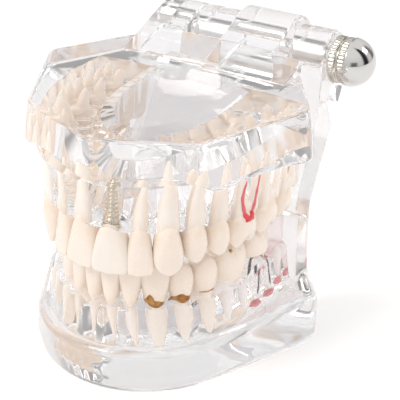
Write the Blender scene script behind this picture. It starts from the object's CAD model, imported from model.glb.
import math

import bpy
import numpy as np
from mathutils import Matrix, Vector
from mathutils.bvhtree import BVHTree


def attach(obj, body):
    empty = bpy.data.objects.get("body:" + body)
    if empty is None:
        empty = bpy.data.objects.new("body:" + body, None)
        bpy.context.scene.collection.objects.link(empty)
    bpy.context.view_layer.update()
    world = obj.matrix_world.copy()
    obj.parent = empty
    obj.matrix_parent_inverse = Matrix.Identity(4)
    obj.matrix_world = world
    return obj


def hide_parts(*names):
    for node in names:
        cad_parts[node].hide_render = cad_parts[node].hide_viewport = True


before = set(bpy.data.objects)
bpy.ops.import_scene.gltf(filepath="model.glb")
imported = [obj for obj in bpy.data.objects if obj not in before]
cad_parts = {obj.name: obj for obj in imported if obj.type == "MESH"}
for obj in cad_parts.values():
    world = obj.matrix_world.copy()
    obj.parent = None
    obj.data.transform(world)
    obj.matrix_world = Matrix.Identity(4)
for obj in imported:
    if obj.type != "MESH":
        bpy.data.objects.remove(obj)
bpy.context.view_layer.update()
scene = bpy.context.scene
print("stage: frame loaded")

# the camera looks from the front left, a little from above

cameraSetup = {"azimuth": 29.9, "elevation": 28.1, "distance": 0.4,
               "target": (0.0109, 0.0, 0.0396), "lens": 143.1, "near": 0.01, "far": 20}


def makeCamera(setup):
    # the camera stands at the target plus the distance along the viewing direction
    a, e = math.radians(setup["azimuth"]), math.radians(setup["elevation"])
    back = Vector((math.sin(a) * math.cos(e), -math.cos(a) * math.cos(e), math.sin(e)))
    cam = bpy.data.objects.new("studioCamera", bpy.data.cameras.new("studioCamera"))
    scene.collection.objects.link(cam)
    cam.location = Vector(setup["target"]) + back * setup["distance"]
    cam.rotation_mode = "QUATERNION"
    cam.rotation_quaternion = (-back).to_track_quat("-Z", "Y")
    cam.data.lens = setup["lens"]
    cam.data.clip_start, cam.data.clip_end = setup["near"], setup["far"]
    scene.camera = cam


makeCamera(cameraSetup)

# all shapes are worked out in millimetres
mm = 0.001
skinForm = {"softenShare": 0.5, "crease": 32}


def gridShell(points, closedU=True, capStart=True, capEnd=True):
    # points[v, u] joined to quads; an end is closed by a fan round the mean of its row
    points = np.asarray(points, float)
    rows, cols = points.shape[:2]
    verts = points.reshape(-1, 3)
    nextCol = np.roll(np.arange(cols), -1) if closedU else np.arange(1, cols)
    thisCol = np.arange(cols) if closedU else np.arange(cols - 1)
    base = (np.arange(rows - 1) * cols)[:, None]
    quads = np.stack([base + thisCol, base + nextCol, base + cols + nextCol, base + cols + thisCol],
                     -1).reshape(-1, 4)
    fans = []
    for wanted, row, flip in ((capStart, 0, True), (capEnd, rows - 1, False)):
        if wanted:
            centre = len(verts)
            verts = np.vstack([verts, points[row].mean(0)])
            a, b = row * cols + thisCol, row * cols + nextCol
            if flip:
                a, b = b, a
            fans.append(np.stack([a, b, np.full(len(a), centre)], -1))
    return verts, quads, (np.vstack(fans) if fans else np.zeros((0, 3), int))


def joined(*shells):
    # several shells as one list of points and faces
    verts, quads, tris, start = [], [], [], 0
    for v, q, t in shells:
        verts.append(v)
        quads.append(q + start)
        tris.append(t + start)
        start += len(v)
    return np.vstack(verts), np.vstack(quads), np.vstack(tris)


def outwards(shell):
    # the signed volume, summed over triangles, tells which way a closed shell faces
    v, q, t = shell
    three = np.vstack([t, q[:, [0, 1, 2]], q[:, [0, 2, 3]]])
    a, b, c = v[three[:, 0]], v[three[:, 1]], v[three[:, 2]]
    if np.einsum("ij,ij->i", a, np.cross(b, c)).sum() < 0:
        return v, q[:, ::-1], t[:, ::-1]
    return shell


def makeObject(name, shell):
    # one object at the origin with its place in its mesh, in metres
    v, q, t = shell
    mesh = bpy.data.meshes.new(name)
    mesh.from_pydata((v * mm).tolist(), [], q.tolist() + t.tolist())
    mesh.polygons.foreach_set("use_smooth", np.full(len(mesh.polygons), True))
    mesh.update()
    obj = bpy.data.objects.new(name, mesh)
    scene.collection.objects.link(obj)
    return obj


def fused(shells, voxel, rounds):
    # overlapping closed shells become one skin, and smoothing rounds its edges and inner corners
    work = makeObject("work", joined(*[outwards(s) for s in shells]))
    work.data.transform(work.matrix_world.Scale(1 / mm, 4))
    remesh = work.modifiers.new("skin", "REMESH")
    remesh.mode = "VOXEL"
    remesh.voxel_size = voxel
    soften = work.modifiers.new("soften", "SMOOTH")
    soften.factor = skinForm["softenShare"]
    soften.iterations = rounds
    graph = bpy.context.evaluated_depsgraph_get()
    mesh = bpy.data.meshes.new_from_object(work.evaluated_get(graph), depsgraph=graph)
    v = np.zeros(len(mesh.vertices) * 3)
    mesh.vertices.foreach_get("co", v)
    corners = np.zeros(len(mesh.loops), int)
    mesh.loops.foreach_get("vertex_index", corners)
    starts = np.zeros(len(mesh.polygons), int)
    totals = np.zeros(len(mesh.polygons), int)
    mesh.polygons.foreach_get("loop_start", starts)
    mesh.polygons.foreach_get("loop_total", totals)
    quads = corners[starts[totals == 4][:, None] + np.arange(4)]
    tris = corners[starts[totals == 3][:, None] + np.arange(3)]
    bpy.data.objects.remove(work)
    bpy.data.meshes.remove(mesh)
    return v.reshape(-1, 3), quads.reshape(-1, 4), tris.reshape(-1, 3)


def united(name, shells, cutters):
    # closed shells joined to one solid, less the cutters; edges steeper than the crease stay crisp
    parts = [makeObject(f"part{i}", outwards(s)) for i, s in enumerate([*shells, *cutters])]
    for i, part in enumerate(parts[1:], 1):
        join = parts[0].modifiers.new("join", "BOOLEAN")
        join.operation = "UNION" if i < len(shells) else "DIFFERENCE"
        join.solver = "MANIFOLD"
        join.object = part
    graph = bpy.context.evaluated_depsgraph_get()
    mesh = bpy.data.meshes.new_from_object(parts[0].evaluated_get(graph), depsgraph=graph)
    mesh.name = name
    for part in parts:
        bpy.data.objects.remove(part)
    mesh.polygons.foreach_set("use_smooth", np.full(len(mesh.polygons), True))
    mesh.set_sharp_from_angle(angle=math.radians(skinForm["crease"]))
    obj = bpy.data.objects.new(name, mesh)
    scene.collection.objects.link(obj)
    even = obj.modifiers.new("evenShading", "WEIGHTED_NORMAL")
    even.keep_sharp = True
    return obj


def smoothCurve(x, xs, ys):
    # cubic Hermite curve through the points, with the slope of the two neighbours at each
    xs, ys = np.asarray(xs, float), np.asarray(ys, float)
    slope = np.gradient(ys, xs)
    x = np.clip(x, xs[0], xs[-1])
    i = np.clip(np.searchsorted(xs, x, "right") - 1, 0, len(xs) - 2)
    h = xs[i + 1] - xs[i]
    t = (x - xs[i]) / h
    return ((1 + 2 * t) * (1 - t) ** 2 * ys[i] + t * (1 - t) ** 2 * h * slope[i]
            + t * t * (3 - 2 * t) * ys[i + 1] + t * t * (t - 1) * h * slope[i + 1])


def setMask(obj, name, values):
    # a value per point that the material reads
    mask = obj.data.attributes.new(name, "FLOAT", "POINT")
    mask.data.foreach_set("value", np.asarray(values, np.float32))


def place(obj, body, slot, look, *nodes):
    # the piece gets its look, its body, its slot and the nodes that it stands for
    obj.data.materials.clear()
    obj.data.materials.append(look)
    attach(obj, body)
    if nodes:
        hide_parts(*nodes)


def socketGroup(name, inputs, outputs):
    # an empty shader group with its named sockets
    tree = bpy.data.node_groups.new(name, "ShaderNodeTree")
    for label, kind, default in inputs:
        s = tree.interface.new_socket(label, in_out="INPUT", socket_type=kind)
        if default is not None:
            s.default_value = default
    for label, kind in outputs:
        tree.interface.new_socket(label, in_out="OUTPUT", socket_type=kind)
    return tree, tree.nodes.new("NodeGroupInput"), tree.nodes.new("NodeGroupOutput")


def node(tree, kind, inputs=None, **settings):
    # one shader node; an input is a plain value or the socket that feeds it
    n = tree.nodes.new(kind)
    for key, value in settings.items():
        setattr(n, key, value)
    for key, value in (inputs or {}).items():
        if isinstance(value, bpy.types.NodeSocket):
            tree.links.new(value, n.inputs[key])
        else:
            n.inputs[key].default_value = value
    return n


def mixColour(tree, share, a, b):
    # a, less a share of it, plus that share of b
    return node(tree, "ShaderNodeMix", {0: share, 6: a, 7: b}, data_type="RGBA").outputs[2]


def maths(tree, operation, a, b):
    # one sum or comparison of two values
    return node(tree, "ShaderNodeMath", {0: a, 1: b}, operation=operation).outputs[0]


def ranged(tree, value, low, high, toLow=0.0, toHigh=1.0):
    # the value carried in a straight line from low and high to the new ends, and held there
    return node(tree, "ShaderNodeMapRange", {"Value": value, "From Min": low, "From Max": high,
                                             "To Min": toLow, "To Max": toHigh}).outputs[0]


def buildFlow():
    # slow swell of a hand-polished surface with a finer ripple on it
    tree, start, end = socketGroup(
        "polishFlow", [("Scale", "NodeSocketFloat", 60.0), ("Depth", "NodeSocketFloat", 0.1),
                       ("Fine", "NodeSocketFloat", 0.2)],
        [("Normal", "NodeSocketVector"), ("Mask", "NodeSocketFloat")])
    where = node(tree, "ShaderNodeTexCoord").outputs["Object"]
    slow = node(tree, "ShaderNodeTexNoise", {"Vector": where, "Scale": start.outputs["Scale"],
                                             "Detail": 1.0, "Roughness": 0.4})
    quickScale = maths(tree, "MULTIPLY", start.outputs["Scale"], 9.0)
    fine = node(tree, "ShaderNodeTexNoise", {"Vector": where, "Scale": quickScale, "Detail": 3.0})
    part = maths(tree, "MULTIPLY", fine.outputs[0], start.outputs["Fine"])
    height = maths(tree, "ADD", slow.outputs[0], part)
    bump = node(tree, "ShaderNodeBump", {"Height": height, "Strength": start.outputs["Depth"],
                                         "Distance": 0.001})
    tree.links.new(bump.outputs[0], end.inputs["Normal"])
    tree.links.new(fine.outputs[0], end.inputs["Mask"])
    return tree


def buildMottle():
    # two colours in soft clouds, with small specks of a third
    tree, start, end = socketGroup(
        "mottle", [("Scale", "NodeSocketFloat", 300.0), ("First", "NodeSocketColor", None),
                   ("Second", "NodeSocketColor", None), ("Speck", "NodeSocketColor", None),
                   ("Specks", "NodeSocketFloat", 0.0)],
        [("Color", "NodeSocketColor")])
    where = node(tree, "ShaderNodeTexCoord").outputs["Object"]
    cloud = node(tree, "ShaderNodeTexNoise", {"Vector": where, "Scale": start.outputs["Scale"],
                                              "Detail": 4.0, "Roughness": 0.6})
    spread = ranged(tree, cloud.outputs[0], 0.35, 0.65)
    first = mixColour(tree, spread, start.outputs["First"], start.outputs["Second"])
    dots = node(tree, "ShaderNodeTexVoronoi", {"Vector": where, "Scale": start.outputs["Scale"]})
    near = ranged(tree, dots.outputs["Distance"], 0.0, 0.3, 1.0, 0.0)
    share = maths(tree, "MULTIPLY", near, start.outputs["Specks"])
    tree.links.new(mixColour(tree, share, first, start.outputs["Speck"]), end.inputs["Color"])
    return tree


polishFlow = buildFlow()
mottle = buildMottle()


def material(name):
    # a new material with its shader
    mat = bpy.data.materials.new(name)
    mat.use_nodes = True
    tree = mat.node_tree
    shader = next(n for n in tree.nodes if n.type == "BSDF_PRINCIPLED")
    return mat, tree, shader


def flowOn(tree, shader, scale, depth, fine):
    # the polish group bends the shader's normal, and gives its ripple as a mask
    g = node(tree, "ShaderNodeGroup", {"Scale": scale, "Depth": depth, "Fine": fine}, node_tree=polishFlow)
    tree.links.new(g.outputs["Normal"], shader.inputs["Normal"])
    return g.outputs["Mask"]


def mottleOn(tree, shader, scale, first, second, speck=(0, 0, 0, 1), specks=0.0):
    # the clouded colour, which is linked to the shader where one is given
    g = node(tree, "ShaderNodeGroup", {"Scale": scale, "First": first, "Second": second, "Speck": speck,
                                       "Specks": specks}, node_tree=mottle)
    if shader:
        tree.links.new(g.outputs["Color"], shader.inputs["Base Color"])
    return g.outputs["Color"]


def roughnessFrom(tree, shader, mask, low, high):
    # the ripple's valleys are smoother than its crests
    tree.links.new(ranged(tree, mask, 0.3, 0.7, low, high), shader.inputs["Roughness"])


# colours and surface values; gloss is the lowest and highest roughness
acrylicForm = {
    "tint": (0.85, 0.815, 0.80, 1), "tintB": (0.82, 0.82, 0.845, 1), "clouds": 45.0,
    "clear": 0.96, "ior": 1.46, "gloss": (0.0, 0.03),
    "flow": (40.0, 0.05, 0.02), "lampTint": (1, 1, 1, 1), "turns": 3.5,
}
crownColours = {"top": (0.86, 0.745, 0.65, 1), "neck": (0.83, 0.675, 0.535, 1)}
whiteColours = {"top": (0.84, 0.755, 0.68, 1), "neck": (0.81, 0.69, 0.58, 1)}
toothFinish = {
    "crownClouds": 260.0, "rootClouds": 320.0, "rootSpeck": (0.80, 0.66, 0.50, 1), "rootSpecks": 0.10,
    "topShare": (0.5, 0.85), "crownShare": (0.38, 0.60),
    "ringShare": (0.12, 0.45), "pitShare": (0.55, 0.75),
    "decayRing": (0.52, 0.33, 0.10, 1), "decayPit": (0.02, 0.013, 0.008, 1),
    "flow": (420.0, 0.22, 0.5), "scatter": 0.12, "scatterReach": (1.0, 0.7, 0.45),
    "scatterScale": 0.0012, "coat": 0.3, "coatGloss": 0.08,
}
toothLooks = {
    "toothIvory": {**crownColours, "rootA": (0.955, 0.86, 0.775, 1), "rootB": (0.935, 0.82, 0.72, 1),
                   "gloss": (0.18, 0.32)},
    "whiteCrown": {**whiteColours, "rootA": whiteColours["top"], "rootB": whiteColours["neck"],
                   "gloss": (0.12, 0.24)},
    "milkRooted": {**crownColours, "rootA": (0.95, 0.90, 0.885, 1), "rootB": (0.92, 0.86, 0.85, 1),
                   "gloss": (0.18, 0.32)},
}
milkyLooks = {
    "clearTooth": {"first": (0.97, 0.95, 0.94, 1), "second": (0.93, 0.90, 0.89, 1), "clear": 0.93,
                   "gloss": (0.2, 0.35)},
    "milkyTooth": {"first": (0.97, 0.92, 0.915, 1), "second": (0.94, 0.88, 0.875, 1), "clear": 0.68,
                   "gloss": (0.4, 0.6)},
}
milkyFinish = {"ior": 1.05, "clouds": 260.0, "speck": (1, 1, 1, 1), "specks": 0.2, "flow": (260.0, 0.3, 0.3)}
metalLooks = {
    "implantMetal": {"first": (0.72, 0.65, 0.54, 1), "second": (0.60, 0.54, 0.44, 1), "gloss": (0.2, 0.36)},
    "steel": {"first": (0.84, 0.84, 0.83, 1), "second": (0.78, 0.78, 0.78, 1), "gloss": (0.28, 0.42)},
    "knurledChrome": {"first": (0.64, 0.61, 0.56, 1), "second": (0.54, 0.51, 0.46, 1),
                      "gloss": (0.12, 0.26)},
    "chrome": {"first": (0.66, 0.65, 0.635, 1), "second": (0.62, 0.61, 0.595, 1), "gloss": (0.015, 0.05),
               "scale": 120.0, "depth": 0.01},
}
pasteLooks = {
    "redFilling": {"first": (0.72, 0.04, 0.05, 1), "second": (0.85, 0.10, 0.11, 1),
                   "speck": (0.45, 0.01, 0.02, 1), "specks": 0.4, "scale": 500.0, "gloss": (0.25, 0.45)},
    "darkMetal": {"first": (0.022, 0.022, 0.026, 1), "second": (0.05, 0.052, 0.058, 1),
                  "speck": (0.11, 0.11, 0.12, 1), "specks": 0.3, "scale": 600.0, "gloss": (0.3, 0.5)},
    "pinkLesion": {"first": (0.83, 0.22, 0.26, 1), "second": (0.90, 0.38, 0.40, 1),
                   "speck": (0.95, 0.62, 0.62, 1), "specks": 0.6, "scale": 700.0, "gloss": (0.35, 0.6),
                   "depth": 0.6},
    "calculusBrown": {"first": (0.38, 0.13, 0.015, 1), "second": (0.72, 0.42, 0.13, 1),
                      "speck": (0.10, 0.025, 0.005, 1), "specks": 0.9, "scale": 420.0, "gloss": (0.4, 0.7),
                      "depth": 0.9},
}


def makeAcrylic(form):
    mat, tree, shader = material("clearAcrylic")
    mottleOn(tree, shader, form["clouds"], form["tint"], form["tintB"])
    roughnessFrom(tree, shader, flowOn(tree, shader, *form["flow"]), *form["gloss"])
    shader.inputs["Transmission Weight"].default_value = form["clear"]
    shader.inputs["IOR"].default_value = form["ior"]
    # lamps, and the soft light that the cast-in teeth gather, pass straight through, as they
    # nearly do in clear resin; so does light that has been turned about inside several times
    path = node(tree, "ShaderNodeLightPath")
    through = node(tree, "ShaderNodeBsdfTransparent", {"Color": form["lampTint"]}).outputs[0]
    late = maths(tree, "GREATER_THAN", path.outputs["Ray Depth"], form["turns"])
    straight = maths(tree, "MAXIMUM", late, path.outputs["Is Diffuse Ray"])
    soft = node(tree, "ShaderNodeMixShader", {0: straight, 1: shader.outputs[0], 2: through})
    mix = node(tree, "ShaderNodeMixShader", {0: path.outputs["Is Shadow Ray"], 1: soft.outputs[0],
                                             2: through})
    tree.links.new(mix.outputs[0], tree.nodes["Material Output"].inputs["Surface"])
    return mat


def makeTooth(name, top, neck, rootA, rootB, gloss):
    # root and crown colours meet at the neck line, and decay is a brown ring round a dark pit
    f = toothFinish
    mat, tree, shader = material(name)
    share = node(tree, "ShaderNodeAttribute", attribute_name="crownShare").outputs["Fac"]
    decay = node(tree, "ShaderNodeAttribute", attribute_name="decay").outputs["Fac"]
    body = mottleOn(tree, None, f["crownClouds"], neck, top)
    crown = mixColour(tree, ranged(tree, share, *f["topShare"]), body, top)
    root = mottleOn(tree, None, f["rootClouds"], rootA, rootB, f["rootSpeck"], f["rootSpecks"])
    tooth = mixColour(tree, ranged(tree, share, *f["crownShare"]), root, crown)
    tooth = mixColour(tree, ranged(tree, decay, *f["ringShare"]), tooth, f["decayRing"])
    tooth = mixColour(tree, ranged(tree, decay, *f["pitShare"]), tooth, f["decayPit"])
    tree.links.new(tooth, shader.inputs["Base Color"])
    roughnessFrom(tree, shader, flowOn(tree, shader, *f["flow"]), *gloss)
    shader.inputs["Subsurface Weight"].default_value = f["scatter"]
    shader.inputs["Subsurface Radius"].default_value = f["scatterReach"]
    shader.inputs["Subsurface Scale"].default_value = f["scatterScale"]
    shader.inputs["Coat Weight"].default_value = f["coat"]
    shader.inputs["Coat Roughness"].default_value = f["coatGloss"]
    return mat


def makeMilky(name, first, second, clear, gloss):
    # clouded resin that lets part of the light through, nearly unbent, as it sits in the acrylic
    f = milkyFinish
    mat, tree, shader = material(name)
    mottleOn(tree, shader, f["clouds"], first, second, f["speck"], f["specks"])
    roughnessFrom(tree, shader, flowOn(tree, shader, *f["flow"]), *gloss)
    shader.inputs["Transmission Weight"].default_value = clear
    shader.inputs["IOR"].default_value = f["ior"]
    return mat


def makePaste(name, first, second, speck, specks, scale, gloss, depth=0.4):
    # grains a little finer than the clouds
    mat, tree, shader = material(name)
    mottleOn(tree, shader, scale, first, second, speck, specks)
    roughnessFrom(tree, shader, flowOn(tree, shader, scale * 1.6, depth, 0.5), *gloss)
    return mat


def makeMetal(name, first, second, gloss, scale=200.0, depth=0.05):
    # two near tones under a faint polish
    mat, tree, shader = material(name)
    mottleOn(tree, shader, scale, first, second)
    roughnessFrom(tree, shader, flowOn(tree, shader, scale, depth, 0.3), *gloss)
    shader.inputs["Metallic"].default_value = 1.0
    return mat


looks = {"clearAcrylic": makeAcrylic(acrylicForm)}
for maker, rows in ((makeTooth, toothLooks), (makeMilky, milkyLooks), (makeMetal, metalLooks),
                    (makePaste, pasteLooks)):
    looks.update({name: maker(name, **values) for name, values in rows.items()})
print("stage: materials made")

# where each tooth stands: the same arch as the frame's teeth
archForm = {
    "upper": {"width": 28.9, "depth": 38.9, "front": 33.1},
    "lower": {"width": 27.0, "depth": 38.0, "front": 31.0},
    "upperNeck": 45.0, "upperDrop": 4.5, "upperRidgeEnd": 18.0, "lowerNeck": 23.3,
    "upperEdge": 32.2, "lowerEdge": 34.5, "bite": 33.4, "overlap": 0.2,
}
kinds = ["central_incisor", "lateral_incisor", "canine", "first_premolar", "second_premolar",
         "first_molar", "second_molar", "third_molar"]
# width, depth, root length, inset from the arch line, tilt
toothRows = {
    "upper": [(8.9, 6.8, 14.6, 4.1, 12), (6.6, 6.2, 13.8, 3.6, 11), (7.6, 7.8, 18.0, 2.4, 4),
              (7.0, 8.8, 16.0, 3.2, 0), (6.9, 8.8, 16.0, 3.4, 0), (10.0, 10.6, 14.6, 4.2, 0),
              (10.2, 10.6, 13.8, 4.4, 0), (8.4, 10.0, 12.0, 4.4, 0)],
    "lower": [(5.3, 5.8, 12.4, 3.1, 3), (5.8, 6.1, 13.4, 3.2, 3), (7.6, 7.4, 15.4, 3.9, 3),
              (7.0, 7.6, 13.8, 4.0, 0), (7.6, 8.1, 13.8, 4.3, 0), (11.2, 10.0, 12.8, 5.3, 0),
              (11.0, 9.8, 12.2, 5.2, 0), (9.4, 9.4, 10.6, 5.1, 0)],
}


def archPoint(jaw, t):
    # half ellipse: width times sine, depth times one less cosine
    a = archForm[jaw]
    return np.stack([a["width"] * np.sin(t), a["depth"] * (1 - np.cos(t)) - a["front"]], -1)


def archHeading(jaw, t):
    # angle of the half ellipse's tangent
    a = archForm[jaw]
    return np.arctan2(a["depth"] * np.sin(t), a["width"] * np.cos(t))


def archTable(jaw):
    # length along the curve, summed over steps of one degree
    t = np.radians(np.arange(91))
    steps = np.linalg.norm(np.diff(archPoint(jaw, t), axis=0), axis=1)
    return np.concatenate([[0], np.cumsum(steps)]), t


archTables = {jaw: archTable(jaw) for jaw in ("upper", "lower")}


def archAt(jaw, s):
    # base point and outward normal at signed distance s from the midline, straight past the quarter
    s = np.asarray(s, float)
    lengths, angles = archTables[jaw]
    far = np.abs(s)
    t = np.interp(far, lengths, angles)
    p = archPoint(jaw, t)
    p[..., 1] += np.maximum(0, far - lengths[-1])
    h = archHeading(jaw, t)
    n = np.stack([np.sin(h), -np.cos(h)], -1)
    side = np.where(s < 0, -1.0, 1.0)
    p[..., 0] *= side
    n[..., 0] *= side
    return p, n


def toothDistance(jaw, k):
    # the widths of the teeth before it, and half its own
    widths = [r[0] for r in toothRows[jaw]]
    return sum(widths[:k]) + widths[k] / 2


def upperMargin(y):
    # the upper neck line drops evenly from the front to the ridge's end
    a = archForm
    return a["upperNeck"] - a["upperDrop"] / (a["upper"]["front"] + a["upperRidgeEnd"]) * (
        y + a["upper"]["front"])


def toothPlace(jaw, side, k):
    # neck centre, heading angle and crown height of one tooth
    inset, tilt = toothRows[jaw][k][3:]
    p, n = archAt(jaw, toothDistance(jaw, k))
    p = p - n * inset
    heading = math.atan2(n[0], -n[1])
    neck = upperMargin(p[1]) if jaw == "upper" else archForm["lowerNeck"]
    if jaw == "upper":
        height = neck - (archForm["upperEdge"] if k < 3 else archForm["bite"] + archForm["overlap"])
    else:
        height = (archForm["lowerEdge"] if k < 3 else archForm["bite"] - archForm["overlap"]) - neck
    return {"at": np.array([p[0], p[1], neck]), "heading": heading, "height": height,
            "tilt": math.radians(tilt), "upper": jaw == "upper", "right": side == "right"}


def turnedBy(angle, a, b):
    # two coordinates turned in their own plane
    c, s = math.cos(angle), math.sin(angle)
    return a * c - b * s, a * s + b * c


def toWorld(spot, local):
    # tilt about x, mirror for the upper jaw, turn to the heading, move, mirror for the right side
    v = np.array(local, float)
    v[..., 1], v[..., 2] = turnedBy(spot["tilt"], v[..., 1], v[..., 2])
    if spot["upper"]:
        v[..., 2] *= -1
    v[..., 0], v[..., 1] = turnedBy(spot["heading"], v[..., 0], v[..., 1])
    v = v + spot["at"]
    if spot["right"]:
        v[..., 0] *= -1
    return v


def toLocal(spot, world):
    # the same steps undone in turn
    v = np.array(world, float)
    if spot["right"]:
        v[..., 0] *= -1
    v = v - spot["at"]
    v[..., 0], v[..., 1] = turnedBy(-spot["heading"], v[..., 0], v[..., 1])
    if spot["upper"]:
        v[..., 2] *= -1
    v[..., 1], v[..., 2] = turnedBy(-spot["tilt"], v[..., 1], v[..., 2])
    return v


def shellsAt(spot, shells):
    # a tooth's own shells carried to its place in the jaw
    return [(toWorld(spot, v), q, t) for v, q, t in shells]


# teeth: a crown of rings and leaning roots, made one skin
toothForm = {
    "around": 48, "voxel": 0.26, "soften": 3, "edgeDrop": [0.5, 0.5, 1.0], "lobes": 0.035,
    "frontRings": [.94, .97, 1], "faceRings": [.94, .86, .76, .65, .54, .43, .32, .21, .1],
    "waist": 0.05, "backNeck": 0.7, "faceFloor": 0.70, "premolarFloor": 0.74, "grooves": 0.02,
    # height share, half width over width, half depth over depth, centre shift over depth
    "incisor": [(0, .28, .38, 0), (.07, .34, .45, -.01), (.2, .40, .455, -.02),
                (.45, .46, .35, -.07), (.72, .495, .21, -.14), (.9, .485, .115, -.18),
                (1, .44, .06, -.19)],
    "canine": [(0, .33, .40, 0), (.07, .385, .45, -.01), (.2, .43, .465, -.02),
               (.45, .485, .40, -.06), (.66, .49, .28, -.11), (.85, .42, .16, -.16),
               (1, .28, .07, -.18)],
    "premolar": [(0, .34, .38, 0), (.07, .40, .43, 0), (.22, .45, .47, 0), (.45, .488, .488, 0),
                 (.75, .48, .455, 0), (1, .42, .37, 0)],
    "molar": [(0, .37, .39, 0), (.07, .42, .44, 0), (.22, .46, .475, 0), (.45, .492, .49, 0),
              (.75, .488, .465, 0), (1, .44, .40, 0)],
    # how far the neck line runs up the lip and tongue faces, and back between the teeth
    "neckRise": 1.25, "neckDip": 0.75,
    # how far the root tips lean back along the arch
    "rootLean": {"upper": [.6, .8, .8, 1.2, 1.2, 1.6, 1.4, 1.0],
                 "lower": [.2, .3, .4, .5, .5, .5, .3, .3]},
}
# cusps of a chewing face: x and y as shares of the half width and depth, height share, spread
cusps = {
    "upperPremolar": [(0, -.60, .97, .62), (-.05, .60, .92, .55)],
    "lowerPremolar": [(0, -.55, .98, .60), (0, .62, .86, .34)],
    "upperMolar": [(-.52, -.60, 1.0, .33), (.48, -.60, .97, .33), (-.42, .55, 1.0, .36),
                   (.55, .55, .90, .30)],
    "lowerMolar": [(-.55, -.56, 1.0, .32), (.05, -.62, .96, .28), (.60, -.50, .93, .28),
                   (-.48, .58, .99, .32), (.48, .56, .96, .32)],
}


def squircle(theta, power):
    # cosine and sine raised to a power keep their sign; a power under one squares the round
    c, s = np.cos(theta), np.sin(theta)
    return np.sign(c) * np.abs(c) ** power, np.sign(s) * np.abs(s) ** power


def wallAt(form, f):
    # half width, half depth and shift read off the form's smooth curves at height share f
    t = np.array(toothForm[form])
    return [smoothCurve(f, t[:, 0], t[:, i]) for i in (1, 2, 3)]


def neckLine(cx, sy):
    # the neck dips between the teeth and rises on the lip and tongue faces
    return toothForm["neckDip"] * cx ** 2 - toothForm["neckRise"] * sy ** 2


def frontCrown(w, d, h, form, edgeDrop):
    # rings of a flattened round that thins to the cutting edge
    theta = np.linspace(0, 2 * np.pi, toothForm["around"], endpoint=False)[None, :]
    f = np.concatenate([np.linspace(0, .9, 16), toothForm["frontRings"]])[:, None]
    a, b, shift = wallAt(form, f)
    cx, sy = squircle(theta, 1 - 0.28 * f)
    # three faint lobes on the lip side
    lobes = 1 + toothForm["lobes"] * np.cos(3 * np.pi * cx) * f * (sy < 0)
    x = a * w * cx
    y = shift * d + b * d * sy * lobes
    z = h * f - edgeDrop * np.abs(cx) ** 1.6 * f ** 4 + neckLine(cx, sy) * (1 - f) ** 3
    return gridShell(np.stack(np.broadcast_arrays(x, y, z), -1))


def chewingFace(kind, h, x, y):
    # the highest of several rounded cones, with the floor of the grooves between them
    floor = toothForm["faceFloor"]
    table = np.full(np.shape(x), floor if "Molar" in kind else toothForm["premolarFloor"])
    for cx, cy, top, spread in cusps[kind]:
        away = np.sqrt((x - cx) ** 2 + (y - cy) ** 2) / spread
        lift = floor + (top - floor) * np.exp(-0.55 * away ** 2)
        table = np.maximum(table, lift - toothForm["grooves"] * away)
    return h * table


def backCrown(w, d, h, form, kind):
    # side wall up to the rim of the chewing face, then rings that shrink over it
    theta = np.linspace(0, 2 * np.pi, toothForm["around"], endpoint=False)[None, :]
    f = np.linspace(0, 1, 16)[:, None]
    a, b = wallAt(form, f)[:2]
    cx, sy = squircle(theta, 1 - 0.22 * f)
    rim = chewingFace(kind, h, cx[-1:], sy[-1:]) * 0.99
    waist = 1 - toothForm["waist"] * f * np.cos(theta * 2 + np.pi) ** 2 * (np.abs(sy) > .6)
    z = f * rim + neckLine(cx, sy) * (1 - f) ** 3 * toothForm["backNeck"]
    wall = np.stack(np.broadcast_arrays(a * w * cx * waist, b * d * sy, z), -1)
    r = np.array(toothForm["faceRings"])[:, None]
    tx, ty = cx[-1:] * r, sy[-1:] * r
    z = chewingFace(kind, h, tx, ty)
    top = np.stack(np.broadcast_arrays(a[-1] * w * tx, b[-1] * d * ty, z), -1)
    return gridShell(np.vstack([wall, top]))


def rootShell(start, radii, length, lean=(0, 0), hook=0.6, neck=0.8, keep=0.30):
    # an ellipse carried down a leaning line that hooks back near its tip, tapering to a round end
    theta = np.linspace(0, 2 * np.pi, 28, endpoint=False)[None, :]
    v = np.concatenate([np.linspace(0, .9, 16), [.94, .97, .99, 1]])[:, None]
    taper = (1 - (1 - keep) * v ** 1.15) * np.sqrt(np.maximum(0, 1 - v ** 9)) + 0.02
    x = start[0] + lean[0] * v + hook * v ** 3 + radii[0] * taper * np.cos(theta)
    y = start[1] + lean[1] * v + radii[1] * taper * np.sin(theta)
    z = neck - (length + neck) * v + 0 * theta
    return gridShell(np.stack(np.broadcast_arrays(x, y, z), -1))


# each root: place and half widths as shares of width and depth, lean across, its share of the
# length, its extra lean back in millimetres, and how far its tip hooks
rootRows = {
    "upperPremolar": [((-.05, -.17), (.34, .22), -.02, 1, 0, .6),
                      ((.05, .17), (.33, .22), .05, .94, -.8, .6)],
    "upperMolar": [((-.21, -.19), (.19, .21), -.03, 1, -.7, .5),
                   ((.2, -.19), (.19, .20), -.02, .97, .7, -.1),
                   ((0, .2), (.24, .20), .08, 1, 0, .2)],
    "lowerMolar": [((-.21, 0), (.20, .36), 0, 1, -.3, .7),
                   ((.23, 0), (.18, .34), 0, .97, .3, .5)],
}
trunkForm = {"front": (.29, .38), "depth": .40, "frontLean": .02, "frontKeep": .26, "fork": (.36, .38),
             "molar": (.40, .40), "molarLength": 4.2, "keep": .8}


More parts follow.
